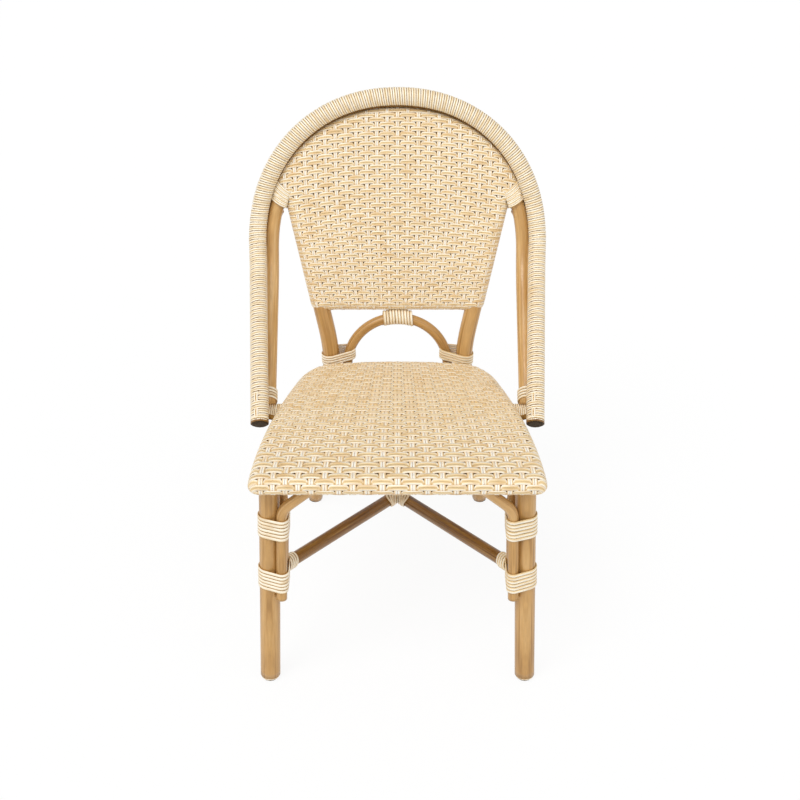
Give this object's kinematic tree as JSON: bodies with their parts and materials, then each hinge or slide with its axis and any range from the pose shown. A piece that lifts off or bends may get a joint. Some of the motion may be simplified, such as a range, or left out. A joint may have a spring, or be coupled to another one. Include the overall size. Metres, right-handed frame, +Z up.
{
  "type": "rattan bistro chair",
  "caption": "Armless bistro side chair: bent rattan pole frame, woven seat and back, a wrapped outer hoop and cane-bound joints.",
  "frame": {"origin": "on the floor, under the middle of the chair's overall box", "axes": "+Z up, the chair faces -Y, +X to the right of someone who looks at its front"},
  "size_m": [0.5295, 0.6094, 0.8822],
  "materials": {
    "pole": "satin golden brown rattan pole",
    "dark_pole": "satin brown rattan pole",
    "woven_cane": "cream and honey rattan strands",
    "binding_cane": "cream flat rattan strand",
    "glide": "matt dark brown",
    "end_cap": "matt dark brown"
  },
  "bodies": {
    "root": {"front_glide_right": "glide", "front_glide_left": "glide", "rear_glide_right": "glide", "rear_glide_left": "glide", "front_foot_collar_right": "binding_cane", "front_foot_collar_left": "binding_cane", "rear_foot_collar_right": "binding_cane", "rear_foot_collar_left": "binding_cane", "front_leg_right": "pole", "front_leg_left": "pole", "rear_leg_right": "pole", "rear_leg_left": "pole", "front_brace_right": "pole", "front_brace_left": "pole", "front_side_brace_right": "pole", "front_side_brace_left": "pole", "rear_side_brace_right": "pole", "rear_side_brace_left": "pole", "rear_brace_right": "pole", "rear_brace_left": "pole", "stretcher_whole": "dark_pole", "stretcher_front_half": "dark_pole", "stretcher_rear_half": "dark_pole", "seat_front_rail": "pole", "seat_bent_rail": "pole", "seat_front_cross_bar": "pole", "seat_rear_cross_bar": "pole", "hoop_peg_right": "pole", "hoop_peg_left": "pole", "hoop_dowel_right": "dark_pole", "hoop_dowel_left": "dark_pole", "seat_weave": "woven_cane", "outer_hoop": "pole", "outer_hoop_wrapping": "woven_cane", "hoop_end_cap_right": "end_cap", "hoop_end_cap_left": "end_cap", "inner_hoop": "pole", "back_bottom_rail": "pole", "back_arch": "pole", "back_weave": "woven_cane", "upper_binding_right": "binding_cane", "upper_binding_left": "binding_cane", "lower_binding_right": "binding_cane", "lower_binding_left": "binding_cane", "rear_binding_right": "binding_cane", "rear_binding_left": "binding_cane", "stretcher_front_binding_right": "binding_cane", "stretcher_front_binding_left": "binding_cane", "stretcher_rear_binding_right": "binding_cane", "stretcher_rear_binding_left": "binding_cane", "crossing_binding": "binding_cane", "stile_binding_right": "binding_cane", "stile_binding_left": "binding_cane", "arch_binding": "binding_cane", "inner_foot_binding_right": "binding_cane", "inner_foot_binding_left": "binding_cane"}
  },
  "joints": []
}
